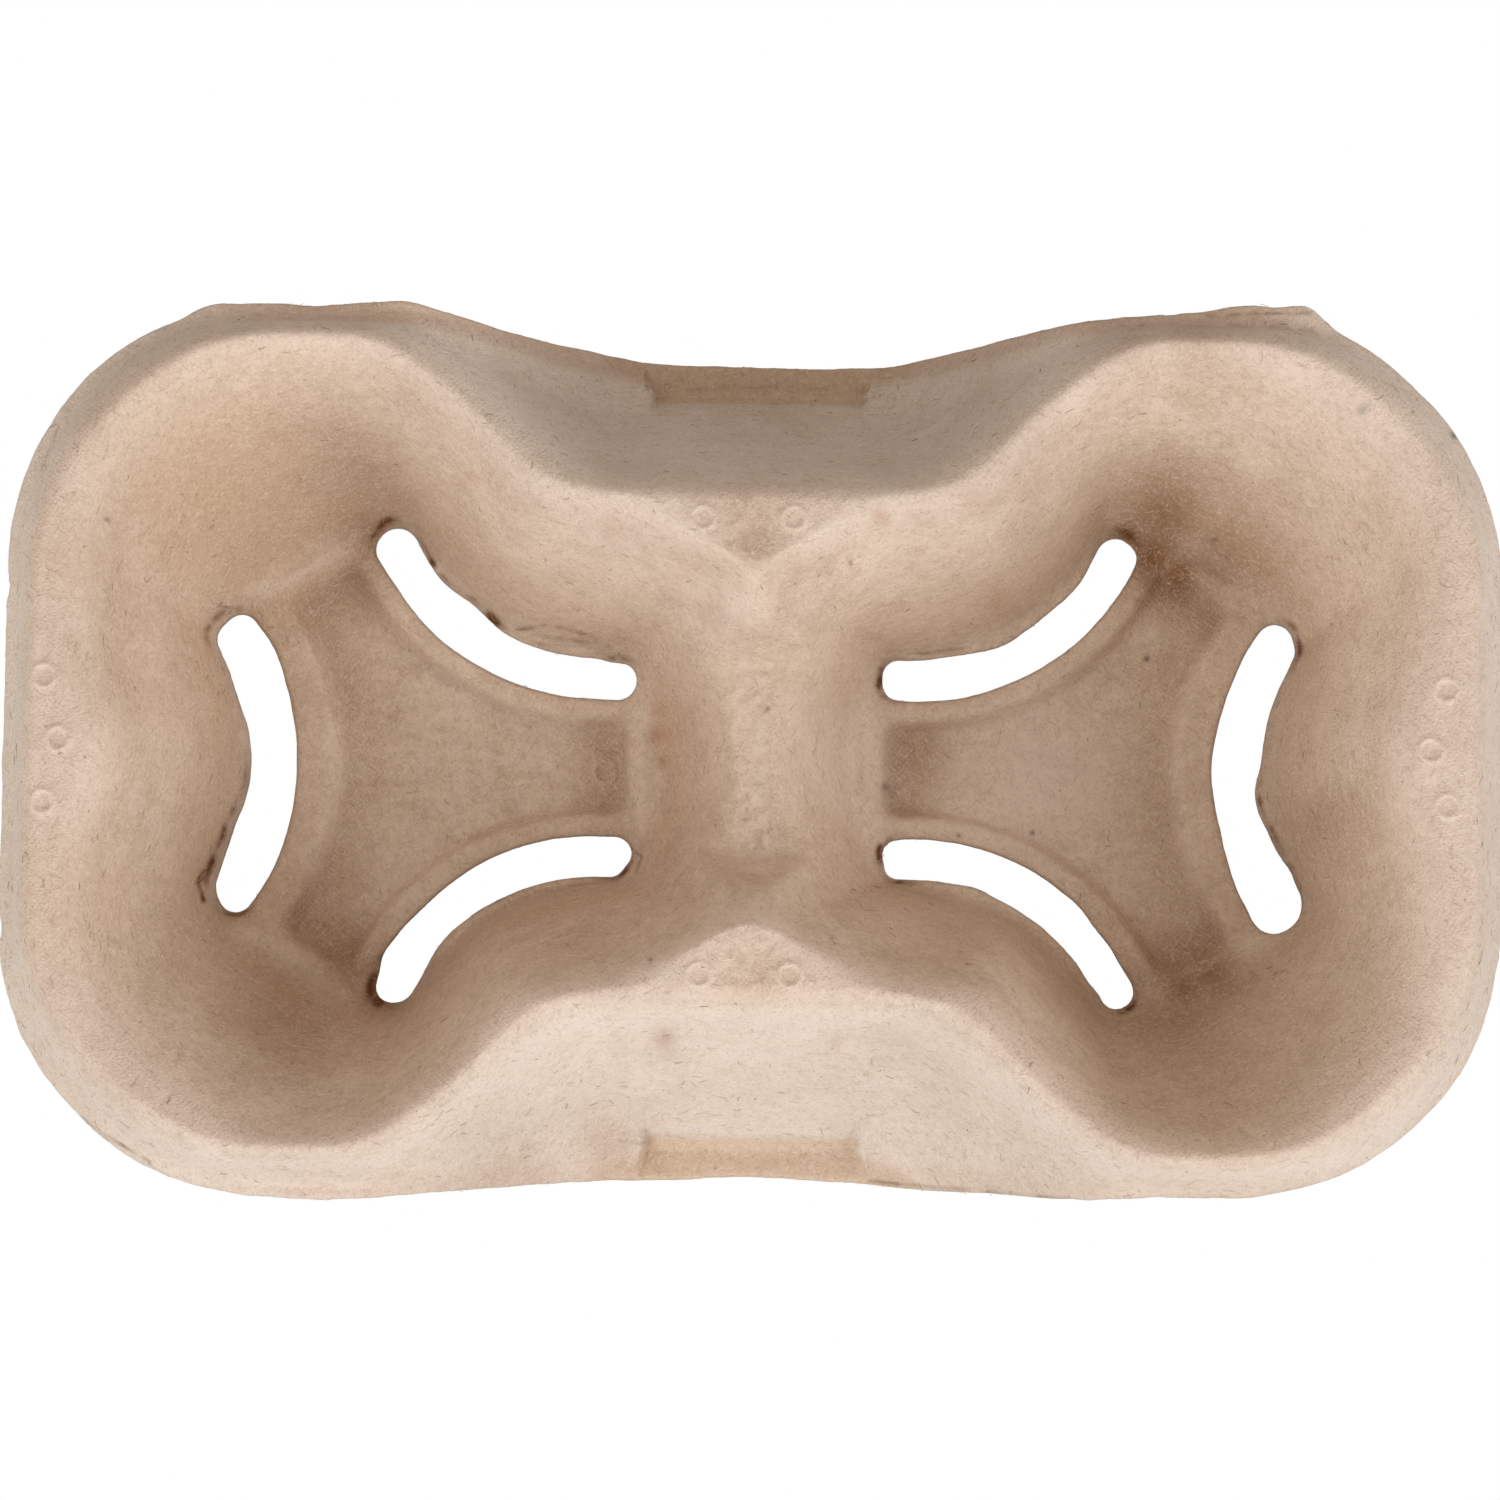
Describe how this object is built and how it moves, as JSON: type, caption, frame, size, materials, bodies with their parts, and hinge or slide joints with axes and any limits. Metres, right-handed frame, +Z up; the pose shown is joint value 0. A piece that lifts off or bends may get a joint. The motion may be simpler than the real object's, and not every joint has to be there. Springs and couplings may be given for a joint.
{
  "type": "two-cup carrier tray",
  "caption": "Moulded paper-pulp carrier tray with a waisted outline and two three-lobed cup pockets, each with a sunken three-armed seat and curved slots.",
  "frame": {"origin": "centre of the standing plane, midway between the two pockets", "axes": "+X along the length from the left pocket to the right one, +Y across the width, +Z up out of the pocket mouths"},
  "size_m": [0.21, 0.1252, 0.045],
  "materials": {
    "pulp": "matt, fibrous moulded paper pulp"
  },
  "bodies": {
    "root": {"cup_carrier": "pulp"}
  },
  "joints": []
}
